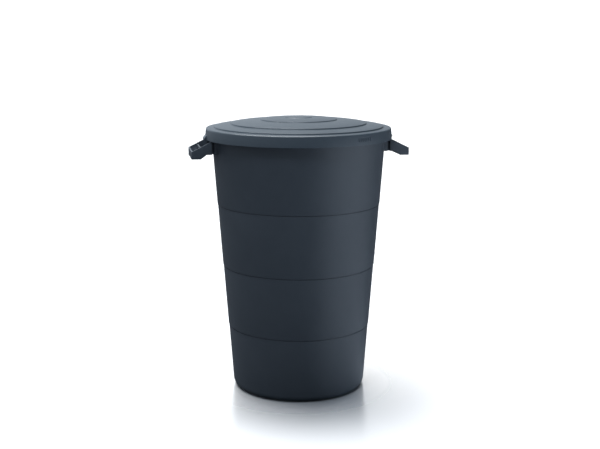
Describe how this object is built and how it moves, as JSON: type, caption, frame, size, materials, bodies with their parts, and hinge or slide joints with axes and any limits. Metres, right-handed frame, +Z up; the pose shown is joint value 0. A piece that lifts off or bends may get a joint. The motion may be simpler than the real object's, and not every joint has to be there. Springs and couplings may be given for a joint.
{
  "type": "round plastic drum with lid",
  "caption": "Tall tapered round plastic drum with a stepped wall, a push-on ringed lid with lift tabs, and two sloping side handles for carrying.",
  "frame": {"origin": "on the floor at the centre of the round base", "axes": "+Z up along the drum's axis, +X out through the right handle, +Y across"},
  "size_m": [0.6136, 0.5258, 0.7794],
  "materials": {
    "tub_plastic": "injection-moulded polypropylene, anthracite, satin",
    "lid_plastic": "injection-moulded polypropylene, anthracite, satin",
    "handle_plastic": "injection-moulded polypropylene, anthracite, satin"
  },
  "bodies": {
    "drum": {"tub": "tub_plastic", "handle_left": "handle_plastic", "handle_right": "handle_plastic"},
    "cover": {"lid": "lid_plastic"}
  },
  "joints": [
    {"name": "lid_lift", "type": "slide", "parent": "drum", "child": "cover", "axis": [0, 0, 1], "range_m": [0, 0.2]}
  ]
}
